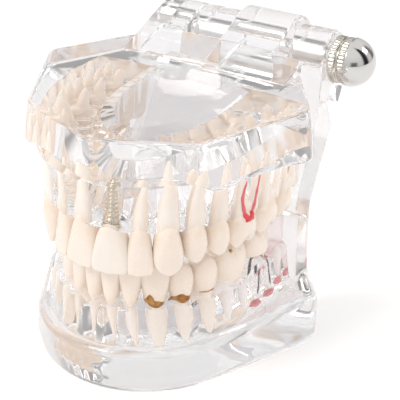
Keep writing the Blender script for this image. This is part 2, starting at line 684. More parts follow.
def rootsOf(jaw, k):
    # one round root, two side by side, or a trunk that parts in two or three
    w, d, length = toothRows[jaw][k][:3]
    back, f = toothForm["rootLean"][jaw][k], trunkForm
    if k < 3 or k == 4 or (k == 3 and jaw == "lower"):
        radii = (f["front"][0 if k < 2 else 1] * w, f["depth"] * d)
        return [rootShell((0, 0), radii, length, (back, f["frontLean"] * d), keep=f["frontKeep"])]
    if k == 3:
        roots = [rootShell((0, 0), (f["fork"][0] * w, f["fork"][1] * d), length * .5, (back * .5, 0),
                           keep=f["keep"], hook=0)]
    else:
        roots = [rootShell((0, 0), (f["molar"][0] * w, f["molar"][1] * d), f["molarLength"], hook=0,
                           keep=f["keep"])]
    for at, half, lean, share, more, hook in rootRows[jaw + ("Premolar" if k == 3 else "Molar")]:
        roots.append(rootShell((at[0] * w, at[1] * d), (half[0] * w, half[1] * d), length * share,
                               (back + more, lean * d), hook))
    return roots


def crownOf(jaw, k, h, grow=1.0):
    # a front crown thins to an edge, and a back crown has a chewing face
    w, d = (x * grow for x in toothRows[jaw][k][:2])
    if k < 3:
        return frontCrown(w, d, h, "incisor" if k < 2 else "canine", toothForm["edgeDrop"][k])
    back = "Premolar" if k < 5 else "Molar"
    return backCrown(w, d, h, back.lower(), jaw + back)


def makeToothObject(name, spot, shells):
    # one skin, with each point's share of crown: half at the neck, one above it, nought on the root
    skin = fused(shellsAt(spot, shells), toothForm["voxel"], toothForm["soften"])
    local = toLocal(spot, skin[0])
    obj = makeObject(name, outwards(skin))
    turn = np.arctan2(local[:, 1], local[:, 0])
    rise = local[:, 2] - neckLine(np.cos(turn), np.sin(turn))
    setMask(obj, "crownShare", np.clip(0.5 + rise / (2.2 * spot["height"]) * 1.6, 0, 1))
    return obj, local


teeth = {}
clearForm = {"stump": "lower_left_second_molar", "milky": "lower_left_third_molar",
             "milkRooted": "lower_left_first_molar", "stumpShare": .82, "stumpHeight": 2.9}


def buildTeeth():
    # every tooth node of the frame gets its piece, and the stump ends in a low peg
    f = clearForm
    special = {f["stump"]: "clearTooth", f["milky"]: "milkyTooth", f["milkRooted"]: "milkRooted"}
    spots = [(jaw, side, k, f"{jaw}_{side}_{kind}") for jaw in ("upper", "lower")
             for side in ("left", "right") for k, kind in enumerate(kinds)]
    for jaw, side, k, name in spots:
        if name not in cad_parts:
            continue
        spot = toothPlace(jaw, side, k)
        if name == f["stump"]:
            w, d = (x * f["stumpShare"] for x in toothRows[jaw][k][:2])
            crown = backCrown(w, d, f["stumpHeight"], "molar", "lowerMolar")
        else:
            crown = crownOf(jaw, k, spot["height"])
        obj, local = makeToothObject("tooth_" + name, spot, rootsOf(jaw, k) + [crown])
        teeth[name] = (obj, spot, local)
        slot = "clear_tooth" if name in (f["stump"], f["milky"]) else "tooth_ivory"
        place(obj, jaw, slot, looks[special.get(name, "toothIvory")], name)


buildTeeth()
print("stage: teeth made", sum(len(t[0].data.polygons) for t in teeth.values()), "faces")

# hinge: everything round it is turned about one axis along x
hingeForm = {"y": 39.6, "z": 67.3, "knuckles": [-22, -10, 1, 18, 28], "bore": 2.55, "barrel": 7.3,
             "lug": 9.2, "endLug": 7.3, "gap": 0.5, "washer": 0.8}
knobForm = {"length": 4.4, "radius": 6.2, "hole": 2.95, "band": 1.8, "ribs": 40, "ribDepth": 0.21,
            # the groove between the knurled bands: place along it, and depth under the rim
            "groove": [(.02, .55), (.15, .68), (.4, .7), (.65, .68), (.78, .55)],
            "domeRadius": 6.5, "domeSink": 0.4}
screwForm = {"shank": 2.47, "stub": 0.4, "pitch": 0.8, "threaded": 5.5, "threadDepth": 0.42,
             "neck": 2.9, "washerRadius": 4.98, "washerHole": 2.56}
nutForm = {"across": 8.0, "thick": 4.0, "sunk": 0.2, "bore": 2.55, "chamfer": 1.6, "bevel": 0.25}
collarX = hingeForm["knuckles"][4] + hingeForm["washer"]


def turned(profile, around=96, wobble=None):
    # a profile of x and radius turned about the hinge axis; wobble adds to the radius
    profile = np.asarray(profile, float)
    theta = np.linspace(0, 2 * np.pi, around, endpoint=False)[None, :]
    x, r = profile[:, :1], profile[:, 1:2]
    r = r + (wobble(theta, x, r) if wobble else 0)
    return np.stack(np.broadcast_arrays(x + 0 * theta, hingeForm["y"] + r * np.cos(theta),
                                        hingeForm["z"] + r * np.sin(theta)), -1)


def tubeProfile(profile, around=96, wobble=None):
    # the profile runs once round the wall of a ring, so its last row joins its first
    pts = turned(profile, around, wobble)
    v, q, t = gridShell(np.vstack([pts, pts[:1]]), capStart=False, capEnd=False)
    cols = pts.shape[1]
    last = len(pts) * cols
    q = np.where(q >= last, q - last, q)
    return v[:last], q, t


def buildKnob():
    f, x0 = knobForm, collarX
    end, rim = x0 + f["length"], f["radius"]
    bands = [(x0, x0 + f["band"]), (end - f["band"], end)]

    def knurl(theta, x, r):
        # straight ribs: a cosine round the circle, only on the bands and away from their bevels
        inBand = sum(np.clip((x - a - .12) / .1, 0, 1) * np.clip((b - .12 - x) / .1, 0, 1)
                     for a, b in bands)
        return inBand * -f["ribDepth"] * (0.5 - 0.5 * np.cos(f["ribs"] * theta)) * (r > rim - 0.3)

    profile = [(x0, rim - .6), (x0, rim - .2), (x0 + .12, rim)]
    for a, b in bands:
        profile += [(x, rim) for x in np.linspace(a + .2, b - .2, 7)] + [(b - .02, rim - .12)]
        if b < end:
            profile += [(b + x, rim - depth) for x, depth in f["groove"]]
            profile.append((bands[1][0] + .02, rim - .12))
    hole = f["hole"]
    profile += [(end, rim - .35), (end, hole), (end - 1, hole), (x0 + .05, hole), (x0, hole + .15)]
    collar = makeObject("knobCollar", outwards(tubeProfile(profile, f["ribs"] * 8, knurl)))
    place(collar, "screw", "knurled_chrome", looks["knurledChrome"], "knob_collar")
    # dome: part of a sphere with a small bead where it meets the collar
    centre, r = end - f["domeSink"], f["domeRadius"]
    angles = np.linspace(math.asin(0.5 / r), math.pi / 2, 28)
    dome = [(end + 0.01, r * .5), (end + 0.01, r - .45), (end + .05, r - .2)]
    dome += [(centre + r * math.sin(a), max(r * math.cos(a), 0.02)) for a in angles]
    obj = makeObject("knobDome", outwards(gridShell(turned(dome))))
    place(obj, "screw", "chrome", looks["chrome"], "knob_dome")


def buildScrew():
    f, n, k = screwForm, nutForm, hingeForm["knuckles"]
    left, threadEnd = k[0] - f["stub"], k[0] + f["threaded"]

    def thread(theta, x, r):
        # a ridge that climbs one pitch a turn, faded out where the thread ends
        phase = (x - left) / f["pitch"] - theta / (2 * np.pi)
        depth = f["threadDepth"] * np.clip((threadEnd - x) / 0.8, 0, 1) * np.clip((x - left) / 0.5, 0, 1)
        return -depth * (1 - np.abs(2 * (phase - np.floor(phase)) - 1)) * (r > 2)

    xs = np.concatenate([np.linspace(left + .35, threadEnd, 70),
                         np.linspace(threadEnd + .5, collarX, 40)])
    profile = [(left, 1.2), (left, 2.0), (left + .2, f["shank"] - .15)] + [(x, f["shank"]) for x in xs]
    profile += [(collarX + .02, f["neck"] - .02), (collarX + .3, f["neck"]), (collarX + 3.2, f["neck"]),
                (collarX + 3.38, f["neck"] - .3)]
    screw = makeObject("hingeScrew", outwards(gridShell(turned(profile, 64, thread))))
    place(screw, "screw", "steel", looks["steel"], "hinge_screw")
    # washer: a ring with rounded rims
    a, b, r, hole = k[4] + .01, collarX - .06, f["washerRadius"], f["washerHole"]
    ring = [(a, hole + .04), (a, r - .18), (a + .15, r), (b - .15, r), (b, r - .18), (b, hole + .04),
            ((a + b) / 2, hole)]
    place(makeObject("hingeWasher", outwards(tubeProfile(ring))), "washer", "steel", looks["steel"],
          "hinge_washer")
    a = k[0] + n["sunk"]
    b = a + n["thick"]

    def hexagon(theta, x, r):
        # distance to the flat of a hexagon, cut by a cone at both rims
        across = n["across"] / 2 / np.cos((theta + np.pi / 6) % (np.pi / 3) - np.pi / 6)
        cone = n["across"] / 2 + n["bevel"] + n["chamfer"] * np.minimum(x - a, b - x)
        return np.where(r > 3, np.minimum(across, cone) - r, 0)

    half, bore = n["across"] / 2, n["bore"]
    nut = [(a, bore), (a, half - .4)] + [(a + x, half) for x in (0, .15, .3, .5)]
    nut += [(b - x, half) for x in (.5, .3, .15, 0)] + [(b, half - .4), (b, bore), ((a + b) / 2, bore - .03)]
    place(makeObject("hingeNut", outwards(tubeProfile(nut, 120, hexagon))), "upper", "steel",
          looks["steel"], "hinge_nut")


buildKnob()
buildScrew()
print("stage: hinge metal made")

# implant: a tapered screw, the abutment seated on it, and its crown
implantForm = {"radius": 2.0, "length": 11.3, "taper": 0.52, "pitch": 1.2, "ridge": 0.34, "flat": 1.0,
               "neck": [(0, 1.4), (0, 1.8), (-.1, 1.9), (-.5, 1.9)],
               "seat": 1.0, "post": 4.2, "postRadius": 1.88, "postTaper": 0.48, "postTip": 1.15,
               "grow": 1.07}


def buildImplant():
    f = implantForm
    spot = toothPlace("upper", "left", 0)

    def turnedLocal(profile, around=72, wobble=None):
        # a profile of height and radius turned about the tooth's own axis
        p = np.asarray(profile, float)
        theta = np.linspace(0, 2 * np.pi, around, endpoint=False)[None, :]
        z, r = p[:, :1], p[:, 1:2]
        r = r + (wobble(theta, z, r) if wobble else 0)
        return toWorld(spot, np.stack(np.broadcast_arrays(r * np.cos(theta), r * np.sin(theta),
                                                          z - f["seat"] + 0 * theta), -1))

    def thread(theta, z, r):
        # one ridge a pitch, rounded valleys, on a core that tapers towards the tip
        phase = -z / f["pitch"] - theta / (2 * np.pi)
        share = np.clip((-z - f["flat"]) / 0.6, 0, 1) * np.clip((f["length"] - 0.5 + z) / 0.6, 0, 1)
        valley = (0.5 - 0.5 * np.cos(2 * np.pi * phase)) ** 0.8
        return -f["ridge"] * valley * share * (r > 0.8)

    z = np.linspace(-f["flat"], -f["length"] + .5, 130)
    radius = f["radius"] * (1 - f["taper"] * (-z / f["length"]))
    profile = f["neck"] + list(zip(z, radius))
    profile += [(-f["length"] + .25, radius[-1] * .85), (-f["length"] + .03, radius[-1] * .45)]
    screw = makeObject("implantScrew", outwards(gridShell(turnedLocal(profile, 72, thread))))
    place(screw, "upper", "implant_metal", looks["implantMetal"], "implant_screw")
    seat, post = f["seat"], f["post"]
    body = [(0.02, 1.7), (0.02, 2.1), (.12, 2.2), (seat - .15, 2.2), (seat, 2.05), (seat + .1, 1.9)]
    body += [(seat + s * post, f["postRadius"] - f["postTaper"] * s) for s in (.2, .4, .6, .8, .96)]
    body.append((seat + post, f["postTip"]))
    abutment = makeObject("implantAbutment", outwards(gridShell(turnedLocal(body))))
    place(abutment, "upper", "implant_metal", looks["implantMetal"], "implant_abutment")
    crown = crownOf("upper", 0, spot["height"], f["grow"])
    obj = makeToothObject("implantCrown", spot, [crown])[0]
    place(obj, "upper", "white_crown", looks["whiteCrown"], "implant_crown")


buildImplant()
print("stage: implant made")

# shapes that the fillings, posts, lesions and deposits are made of
def ballShell(centre, radii, around=32, wobble=None):
    # a sphere's rings scaled by three radii, with a seeded swell
    theta = np.linspace(0, 2 * np.pi, around, endpoint=False)[None, :]
    phi = np.linspace(0.06, np.pi - 0.06, around // 2)[:, None]
    unit = np.stack(np.broadcast_arrays(np.sin(phi) * np.cos(theta), np.sin(phi) * np.sin(theta),
                                        np.cos(phi) + 0 * theta), -1)
    swell = 1 + (wobble(unit) if wobble else 0)
    return gridShell(np.asarray(centre) + unit * np.asarray(radii) * (swell[..., None] if wobble else 1))


def tubeAlong(path, radii, around=14):
    # a circle carried along the path, standing square to it
    path, radii = np.asarray(path, float), np.asarray(radii, float)
    along = np.gradient(path, axis=0)
    along /= np.linalg.norm(along, axis=1, keepdims=True)
    side = np.cross(along, [0.31, 0.87, 0.38])
    side /= np.linalg.norm(side, axis=1, keepdims=True)
    up = np.cross(along, side)
    theta = np.linspace(0, 2 * np.pi, around, endpoint=False)
    ring = (np.cos(theta)[None, :, None] * side[:, None] + np.sin(theta)[None, :, None] * up[:, None])
    return gridShell(path[:, None] + ring * radii[:, None, None])


def ripple(seed, amount):
    # a few sine waves of seeded direction and phase over the unit ball
    rng = np.random.default_rng(seed)
    waves = rng.normal(size=(5, 3)) * 3.0
    phases = rng.uniform(0, 6.28, 5)
    return lambda u: amount * np.sin(np.tensordot(u, waves, (-1, -1)) + phases).mean(-1)


def onFace(tooth, xz, outside=9.0):
    # the tooth's cheek-side skin at local x and z, found by a ray from outside
    obj, local = tooth[0], tooth[2]
    tree = BVHTree.FromPolygons(local.tolist(), [tuple(p.vertices) for p in obj.data.polygons])
    found = []
    for x, z in xz:
        hit = tree.ray_cast(Vector((x, -outside, z)), Vector((0, 1, 0)))[0]
        found.append([x, hit.y if hit else -1.0, z])
    return np.array(found)


canalForm = {"left": [(-.8, .2), (-1.5, -1.2), (-2.0, -3.2), (-2.1, -5.4), (-1.5, -7.6), (-.4, -9.6)],
             "right": [(.8, .2), (1.5, -1.0), (2.2, -3.0), (2.9, -5.4), (3.7, -7.8), (4.4, -10.6)],
             "radius": 0.52, "taper": 0.55, "swell": 0.12,
             # the pulp: a swollen ball and a horn at each side, as far out and up, sunk and radii
             "pulp": (0.0, 0.7), "balls": [(0, 0, .25, (1.35, .62, .8)), (-.95, .15, .2, (.55, .5, .55)),
                                           (.95, .15, .2, (.55, .5, .55))],
             "seed": 4, "ripple": 0.12, "voxel": 0.14}


def buildCanals():
    # two tapering tubes laid on the roots' cheek side, and the pulp that they run from
    f, tooth = canalForm, teeth["upper_left_first_molar"]
    shells = []
    for side in ("left", "right"):
        pts = np.array(f[side])
        t = np.linspace(0, 1, len(pts))
        fine = np.linspace(0, 1, 40)
        path = onFace(tooth, np.stack([smoothCurve(fine, t, pts[:, i]) for i in (0, 1)], -1))
        path[:, 1] = smoothCurve(fine, np.linspace(0, 1, 9), path[::5, 1].tolist() + [path[-1, 1]])
        radii = f["radius"] * (1.25 - f["taper"] * fine) * (1 + f["swell"] * np.sin(23 * fine))
        shells.append(tubeAlong(path, radii))
    y = onFace(tooth, [f["pulp"]])[0, 1]
    for x, up, sunk, radii in f["balls"]:
        centre = (f["pulp"][0] + x, y + sunk, f["pulp"][1] + up)
        shells.append(ballShell(centre, radii, wobble=None if x else ripple(f["seed"], f["ripple"])))
    obj = makeObject("rootCanalFill", outwards(fused(shellsAt(tooth[1], shells), f["voxel"], 2)))
    place(obj, "upper", "red_filling", looks["redFilling"], "root_canal_fill")


postForm = {"core": ((0, -.8, 2.25), (2.9, 3.0, .75)), "seed": 9, "ripple": 0.06,
            "shoulders": [((-2.0, -1.0, 1.9), (.8, 1.3, .7)), ((2.2, -1.0, 1.9), (.8, 1.3, .7))],
            # each post bends from its top past its middle to its tip
            "posts": [((-1.75, -1.8, 2.3), (-1.9, -2.2, -3.0), (-.26, -2.2, -8.2)),
                      ((1.75, -1.8, 2.3), (2.1, -2.2, -3.0), (.27, -2.0, -8.0))],
            "radius": 0.34, "taper": 0.08, "swell": 0.06, "voxel": 0.14, "capFoot": 2.7, "capFlat": 0.04}


def buildPostAndCore():
    # posts on quadratic curves; the tips stand at a share of the tooth's width
    f, spot = postForm, teeth["lower_left_second_molar"][1]
    shells = [ballShell(*f["core"], 40, ripple(f["seed"], f["ripple"]))]
    shells += [ballShell(*shoulder) for shoulder in f["shoulders"]]
    t = np.linspace(0, 1, 40)[:, None]
    for top, mid, (share, y, z) in f["posts"]:
        tip = np.array([share * toothRows["lower"][6][0], y, z])
        path = (1 - t) ** 2 * np.array(top) + 2 * t * (1 - t) * np.array(mid) + t * t * tip
        radii = (f["radius"] - f["taper"] * t[:, 0]) * (1 + f["swell"] * np.sin(31 * t[:, 0]))
        shells.append(tubeAlong(path, radii))
    obj = makeObject("postAndCore", outwards(fused(shellsAt(spot, shells), f["voxel"], 2)))
    place(obj, "lower", "dark_metal", looks["darkMetal"], "post_and_core")
    # the cap is the crown with its lower third cut away by a flat collar
    v, q, t = crownOf("lower", 6, spot["height"])
    v[:, 2] = np.where(v[:, 2] < f["capFoot"], f["capFoot"] + (v[:, 2] - f["capFoot"]) * f["capFlat"],
                       v[:, 2])
    cap = makeToothObject("secondMolarCap", spot, [(v, q, t)])[0]
    place(cap, "lower", "tooth_ivory", looks["toothIvory"], "second_molar_cap")


lesionForm = {"pieces": [("second_molar_lesions", "secondMolarLesions", 6, 21),
                         ("third_molar_lesions", "thirdMolarLesions", 7, 33)],
              "apart": 0.27, "back": {-1: 0.6, 1: 0.5}, "out": -0.3, "rise": 0.2,
              "radii": (1.95, 2.0, 1.05), "ripple": 0.22}


def buildLesions():
    # a flattened ball under each of the two root tips
    f = lesionForm
    for name, pieceName, k, seed in f["pieces"]:
        w, length = toothRows["lower"][k][0], toothRows["lower"][k][2]
        balls = [ballShell((side * f["apart"] * w + f["back"][side], f["out"], f["rise"] - length),
                           f["radii"], 36, ripple(seed + side, f["ripple"])) for side in (-1, 1)]
        worldBalls = [outwards(s) for s in shellsAt(toothPlace("lower", "left", k), balls)]
        obj = makeObject(pieceName, outwards(joined(*worldBalls)))
        place(obj, "lower", "pink_lesion", looks["pinkLesion"], name)


# each crust: its ends along the tooth, lowest and highest edge, thickness and seed
depositForm = {
    "crusts": [("canine_calculus", "canineCalculus", "lower_left_canine",
                [((-2.7, 2.6), -2.3, 1.3, .6, 5), ((-2.8, -.3), -1.2, 3.0, .75, 6)]),
               ("premolar_calculus", "premolarCalculus", "lower_left_first_premolar",
                [((-3.2, 2.9), -2.1, 1.3, .6, 5), ((-2.9, 1.2), -1.8, 1.7, .7, 23)])],
    "stain": ("lower_left_second_premolar", ((-2.2, 2.3), -.05, .55, .2, 14)),
    "lowWander": 0.25, "highWander": 0.2, "grains": 0.12, "skin": 0.02, "sunk": 0.35, "voxel": 0.13,
}


def deposit(tooth, xs, low, high, thick, seed):
    # a crust over the cheek face: its edge heights wander and its thickness swells between them
    f, rng = depositForm, np.random.default_rng(seed)
    t, rows = np.linspace(0, 1, 36), np.linspace(0, 1, 9)
    lowWave, highWave = [sum(rng.normal() * np.sin(n * np.pi * t + rng.uniform(0, 6)) / n
                             for n in range(1, 7)) for edge in ("low", "high")]
    bulge = np.sin(np.pi * t) ** .5
    zLow = low - f["lowWander"] * lowWave * bulge
    zHigh = low + (high - low) * bulge + f["highWander"] * highWave * bulge
    x = np.broadcast_to(xs[0] + (xs[1] - xs[0]) * t, (len(rows), len(t)))
    z = zLow + (zHigh - zLow) * rows[:, None]
    skin = onFace(tooth, np.stack([x, z], -1).reshape(-1, 2)).reshape(len(rows), len(t), 3)
    grains = f["grains"] * np.sin(9 * skin[..., 0] + 3 * lowWave) * np.sin(11 * skin[..., 2])
    across = np.sin(np.pi * rows)[:, None]
    outer, inner = skin.copy(), skin.copy()
    outer[..., 1] -= np.maximum(thick * across ** .6 * bulge + grains * across, 0) + f["skin"]
    inner[..., 1] += f["sunk"]
    loop = np.concatenate([outer, inner[::-1]], 0)  # round the crust's section, and along it
    return gridShell(np.swapaxes(loop, 0, 1))


def buildDeposits():
    # two crusts made one skin on each of two teeth, and a thin stain that no node stands for
    f = depositForm
    for name, pieceName, toothName, parts in f["crusts"]:
        tooth = teeth[toothName]
        crusts = shellsAt(tooth[1], [deposit(tooth, *part) for part in parts])
        obj = makeObject(pieceName, outwards(fused(crusts, f["voxel"], 2)))
        place(obj, "lower", "calculus", looks["calculusBrown"], name)
    tooth = teeth[f["stain"][0]]
    thin = shellsAt(tooth[1], [deposit(tooth, *f["stain"][1])])[0]
    place(makeObject("secondPremolarStain", outwards(thin)), "lower", "calculus", looks["calculusBrown"])


decayForm = {"at": (-1.4, 8.2), "rough": 0.15, "reach": 0.9, "tall": 1.3, "depth": 0.9,
             "edge": 0.35, "wall": 0.5}


def buildDecay():
    # the pit: the skin sinks and darkens around one spot near the chewing edge
    f, tooth = decayForm, teeth["lower_left_first_molar"]
    obj, spot, local = tooth
    at = onFace(tooth, [f["at"]])[0]
    rough = f["rough"] * np.sin(6 * local[:, 0]) * np.sin(7 * local[:, 2] + 1)
    away = np.linalg.norm((local - at) * (1, 1, f["tall"]), axis=1) + rough
    share = np.clip(1 - away / f["reach"], 0, 1)
    setMask(obj, "decay", share)
    sunk = local.copy()
    sunk[:, 1] += f["depth"] * np.clip((share - f["edge"]) / f["wall"], 0, 1) ** 1.5
    obj.data.vertices.foreach_set("co", (toWorld(spot, sunk) * mm).astype(np.float32).ravel())
    obj.data.update()


buildCanals()
buildPostAndCore()
buildLesions()
buildDeposits()
buildDecay()
print("stage: fillings and lesions made")

# clear jaws: each is several closed shapes united, less the hinge's bore
jawForm = {
    "top": 68.2, "under": 56.5, "corner": 2.2, "edge": 0.8, "lowerFront": 36.7,
    "upperCorners": [(0, -33.7), (24.2, -23.4), (37.8, 6.4), (24.5, 26.5), (-24.5, 26.5),
                     (-37.8, 6.4), (-24.2, -23.4)],
    "lowerCorners": [(24.2, -23.4), (39.8, 10.8), (28, 26.5), (-28, 26.5), (-39.8, 10.8)],
    "lowerRounds": [4.0, 3.0, 3.0, 3.0, 3.0], "frontRound": 0.4, "frontShare": 0.86,
}


def roundedPath(corners, radii, count):
    # each corner is cut back along both edges and bridged by a quadratic curve, then spaced evenly
    pts = np.asarray(corners, float)
    path = []
    for i in range(len(pts)):
        a, b, c = pts[i - 1], pts[i], pts[(i + 1) % len(pts)]
        before, after = np.linalg.norm(a - b), np.linalg.norm(c - b)
        r = min(radii[i] if np.ndim(radii) else radii, .45 * before, .45 * after)
        start = b + (a - b) / before * r
        stop = b + (c - b) / after * r
        t = np.linspace(0, 1, 25)[:, None]
        path.append((1 - t) ** 2 * start + 2 * t * (1 - t) * b + t * t * stop)
    path = np.vstack(path + [path[0][:1]])
    lengths = np.concatenate([[0], np.cumsum(np.linalg.norm(np.diff(path, axis=0), axis=1))])
    at = np.linspace(0, lengths[-1], count, endpoint=False)
    return np.stack([np.interp(at, lengths, path[:, 0]), np.interp(at, lengths, path[:, 1])], -1)


def pathNormals(path):
    # outward normal of an anticlockwise closed path
    d = np.roll(path, -1, 0) - np.roll(path, 1, 0)
    d /= np.linalg.norm(d, axis=1, keepdims=True)
    return np.stack([d[:, 1], -d[:, 0]], -1)


def sideways(profileYZ, x0, x1, radius):
    # a rounded outline in y and z carried along x, drawn in at both ends by a quarter round
    outline = roundedPath(profileYZ, radius, 96)
    area = np.sum(outline[:, 0] * np.roll(outline[:, 1], -1) - outline[:, 1] * np.roll(outline[:, 0], -1))
    n = pathNormals(outline) * (1 if area > 0 else -1)
    e = jawForm["edge"]
    a = np.linspace(0, np.pi / 2, 5)
    inset = np.concatenate([e * (1 - np.sin(a)), e * (1 - np.cos(a))])
    xs = np.concatenate([x0 + e * (1 - np.cos(a)), x1 - e + e * np.sin(a)])
    rows = [np.column_stack([np.full(len(outline), x), outline - n * d]) for x, d in zip(xs, inset)]
    return gridShell(np.array(rows))


def barrelShell(x0, x1, r):
    # a round bar on the hinge axis with a quarter round at both rims
    e = jawForm["edge"]
    a = np.linspace(0, np.pi / 2, 5)
    profile = [(x0 + e * (1 - math.cos(t)), r - e * (1 - math.sin(t))) for t in a]
    profile += [(x1 - e + e * math.sin(t), r - e * (1 - math.cos(t))) for t in a]
    return gridShell(turned(profile, 72))


rampForm = {"foot": 15.5, "sink": (1.5, 0.6), "buried": 58.5, "rear": (26.3, 57.6), "belly": (2, 0.96),
            "endCut": 28.0, "lugCut": 25.0, "lugEnd": 26, "reach": 3, "round": 1.0, "cutRound": 0.8}


def rampProfile(r, cut=None):
    # from the top of the base up to the lug as a tangent, and back down to the base's rear edge
    h, f = hingeForm, rampForm
    dy, dz = h["y"] - f["foot"], h["z"] - jawForm["top"]
    a = math.asin(r / math.hypot(dy, dz)) + math.atan2(dz, dy)
    touch = (h["y"] - r * math.sin(a), h["z"] + r * math.cos(a))
    start = (f["foot"] - f["sink"][0], jawForm["top"] - f["sink"][1])
    if cut:
        rise = start[1] + (touch[1] - start[1]) * (cut - start[0]) / (touch[0] - start[0])
        return [(start[0], f["buried"]), (cut, f["buried"]), (cut, rise), start]
    return [(start[0], f["buried"]), f["rear"], (h["y"] - f["belly"][0], h["z"] - r * f["belly"][1]),
            (h["y"], h["z"]), touch, start]


slabForm = {
    # the lower edge's height by direction: arches between the front, the corner and the side
    "angles": [-90, -80, -68, -58, -50, -44, -38, -30, -20, 0, 12, 30, 60, 90],
    "edges": [57.7, 57.4, 58.5, 58.9, 58.4, 57.6, 55.2, 54.9, 55.7, 55.4, 54.3, 54.6, 55.8, 56.3],
    "flare": 1.15, "bow": 0.15, "underEdge": 1.2, "underRings": [(3.5, .5), (7, 1.0)], "hollow": 0.8,
}


def ringAt(path, n, inset, z):
    # the outline drawn in by an inset, at a height; both may change round it
    inset, z = (np.broadcast_to(value, len(path)) for value in (inset, z))
    return np.column_stack([path - n * inset[:, None], z])


def slabShell(corners):
    # from the middle of the top over its edge, down the flared wall, and in under the scalloped edge
    f, top, under, e = slabForm, jawForm["top"], jawForm["under"], jawForm["edge"]
    path = roundedPath(corners, jawForm["corner"], 360)
    n = pathNormals(path)
    zb = np.interp(np.degrees(np.arctan2(path[:, 1], np.abs(path[:, 0]))), f["angles"], f["edges"])
    a = np.linspace(0, np.pi / 2, 5)
    rows = [ringAt(path * .5, n, 0, top), ringAt(path, n, e + .2, top)]
    rows += [ringAt(path, n, e * (1 - math.sin(t)), top - e * (1 - math.cos(t))) for t in a]
    rows += [ringAt(path, n, -(f["flare"] * t + f["bow"] * math.sin(math.pi * t)),
                    (top - e) * (1 - t) + (zb + e) * t) for t in np.linspace(.1, 1, 9)]
    rows += [ringAt(path, n, e * f["underEdge"] * (1 - math.cos(t)) - f["flare"],
                    zb + e * (1 - math.sin(t))) for t in a[1:]]
    rows += [ringAt(path, n, inset, zb + (under - zb) * drop + .1) for inset, drop in f["underRings"]]
    rows.append(ringAt(path * .4, n, 0, under + f["hollow"]))
    return gridShell(np.array(rows))


def toothBumps(jaw, s):
    # one over the middle of each tooth, nought between two teeth
    widths = np.array([r[0] for r in toothRows[jaw]])
    edges = np.concatenate([[0], np.cumsum(widths)])
    far = np.abs(s)
    i = np.clip(np.searchsorted(edges, far, "right") - 1, 0, len(widths) - 1)
    t = np.clip((far - edges[i]) / widths[i], 0, 1)
    return np.sin(np.pi * t) ** 2


def ridgeShell(jaw, sections, endY, count=300):
    # a closed section of outward offset and height carried along the arch from end to end
    lengths = archTables[jaw][0]
    reach = lengths[-1] + endY - archPoint(jaw, np.array(np.pi / 2))[1]
    s = np.linspace(-reach, reach, count)
    base, n = archAt(jaw, s)
    bump = toothBumps(jaw, s)
    offset, z = sections(base, bump)
    x = base[None, :, 0] + n[None, :, 0] * offset
    y = base[None, :, 1] + n[None, :, 1] * offset
    return gridShell(np.swapaxes(np.stack([x, y, z + 0 * x], -1), 0, 1))


ridgeForm = {
    "upperEnd": archForm["upperRidgeEnd"], "lowerEnd": 20.0,
    # how the neck line moves between and over the teeth, and how far the wall swells over a root
    "upperNeck": (1.0, -0.5), "lowerNeck": (-0.9, 0.1), "upperSwell": 0.3, "lowerSwell": 0.6,
    # along y: the lower wall is plain beside the molars, and its foot climbs towards the back
    "plain": ([-20, -8], [1, .1]), "footLift": ([-31, -10, 10, 20], [0, .4, 1.4, 1.6]),
    # it stands higher round the clear second and third molars
    "clearRise": 2.6, "clearSpan": ([-6, 2, 20, 26], [0, 1, 1, .3]),
    # offset and its share of the swell, share of the neck's height (the rest is the ground's),
    # height over that, and its share of the foot's lift
    "upperRows": [
        (2.2, 0, 0, 1.5, 0), (1.3, .3, 0, -1.2, 0), (.8, .7, 0, -3.5, 0), (.6, 1, .5, 0, 0),
        (.5, 1, 1, 2.2, 0), (.3, 1, 1, .9, 0), (-.4, 1, 1, .1, 0), (-1.6, 0, 1, -.1, 0),
        (-9.5, 0, 1, .3, 0), (-11.2, 0, 1, 1.0, 0), (-12.2, 0, 1, 2.4, 0), (-12.9, 0, 1, 5.0, 0),
        (-14.0, 0, 0, -2.4, 0), (-16.0, 0, 0, -.6, 0), (-18.0, 0, 0, 1.5, 0)],
    "lowerRows": [
        (4.6, 0, 0, 9.0, 1), (3.4, 0, 0, 11.4, 1), (2.5, .2, 0, 13.4, 1), (1.8, .7, 0, 16.0, 0),
        (1.5, 1, 0, 19.0, 0), (1.1, 1, 1, -1.4, 0), (.3, 1, 1, -.3, 0), (-1.2, 0, 1, 0, 0),
        (-9.2, 0, 1, 0, 0), (-10.8, 0, 1, -.7, 0), (-11.8, 0, 1, -2.2, 0), (-12.1, 0, 0, 15.0, 0),
        (-12.8, 0, 0, 10.5, 0), (-14.5, 0, 0, 8.6, 0), (-17.0, 0, 0, 7.0, 0), (-14.0, 0, 0, 3.0, 0),
        (0, 0, 0, 2.0, 0), (3.0, 0, 0, 4.0, 0)],
}


def ridgeRows(rows, swell, neck, ground, lift):
    # the table's five columns put together for every place along the arch at once
    out, swellShare, neckShare, rise, liftShare = np.array(rows, float).T[:, :, None]
    return out + swellShare * swell, (neckShare * neck + (1 - neckShare) * ground + rise
                                      + liftShare * lift)


def upperRidge(base, bump):
    over, between = ridgeForm["upperNeck"]
    neck = upperMargin(base[:, 1]) + over * bump + between
    return ridgeRows(ridgeForm["upperRows"], ridgeForm["upperSwell"] * bump, neck, jawForm["under"], 0)


def lowerRidge(base, bump):
    f, y = ridgeForm, base[:, 1]
    over, between = f["lowerNeck"]
    neck = archForm["lowerNeck"] + over * bump + between
    neck = neck + f["clearRise"] * np.interp(y, *f["clearSpan"]) * (base[:, 0] > 0)
    swell = f["lowerSwell"] * bump * np.interp(y, *f["plain"])
    return ridgeRows(f["lowerRows"], swell, neck, 0, np.interp(y, *f["footLift"]))


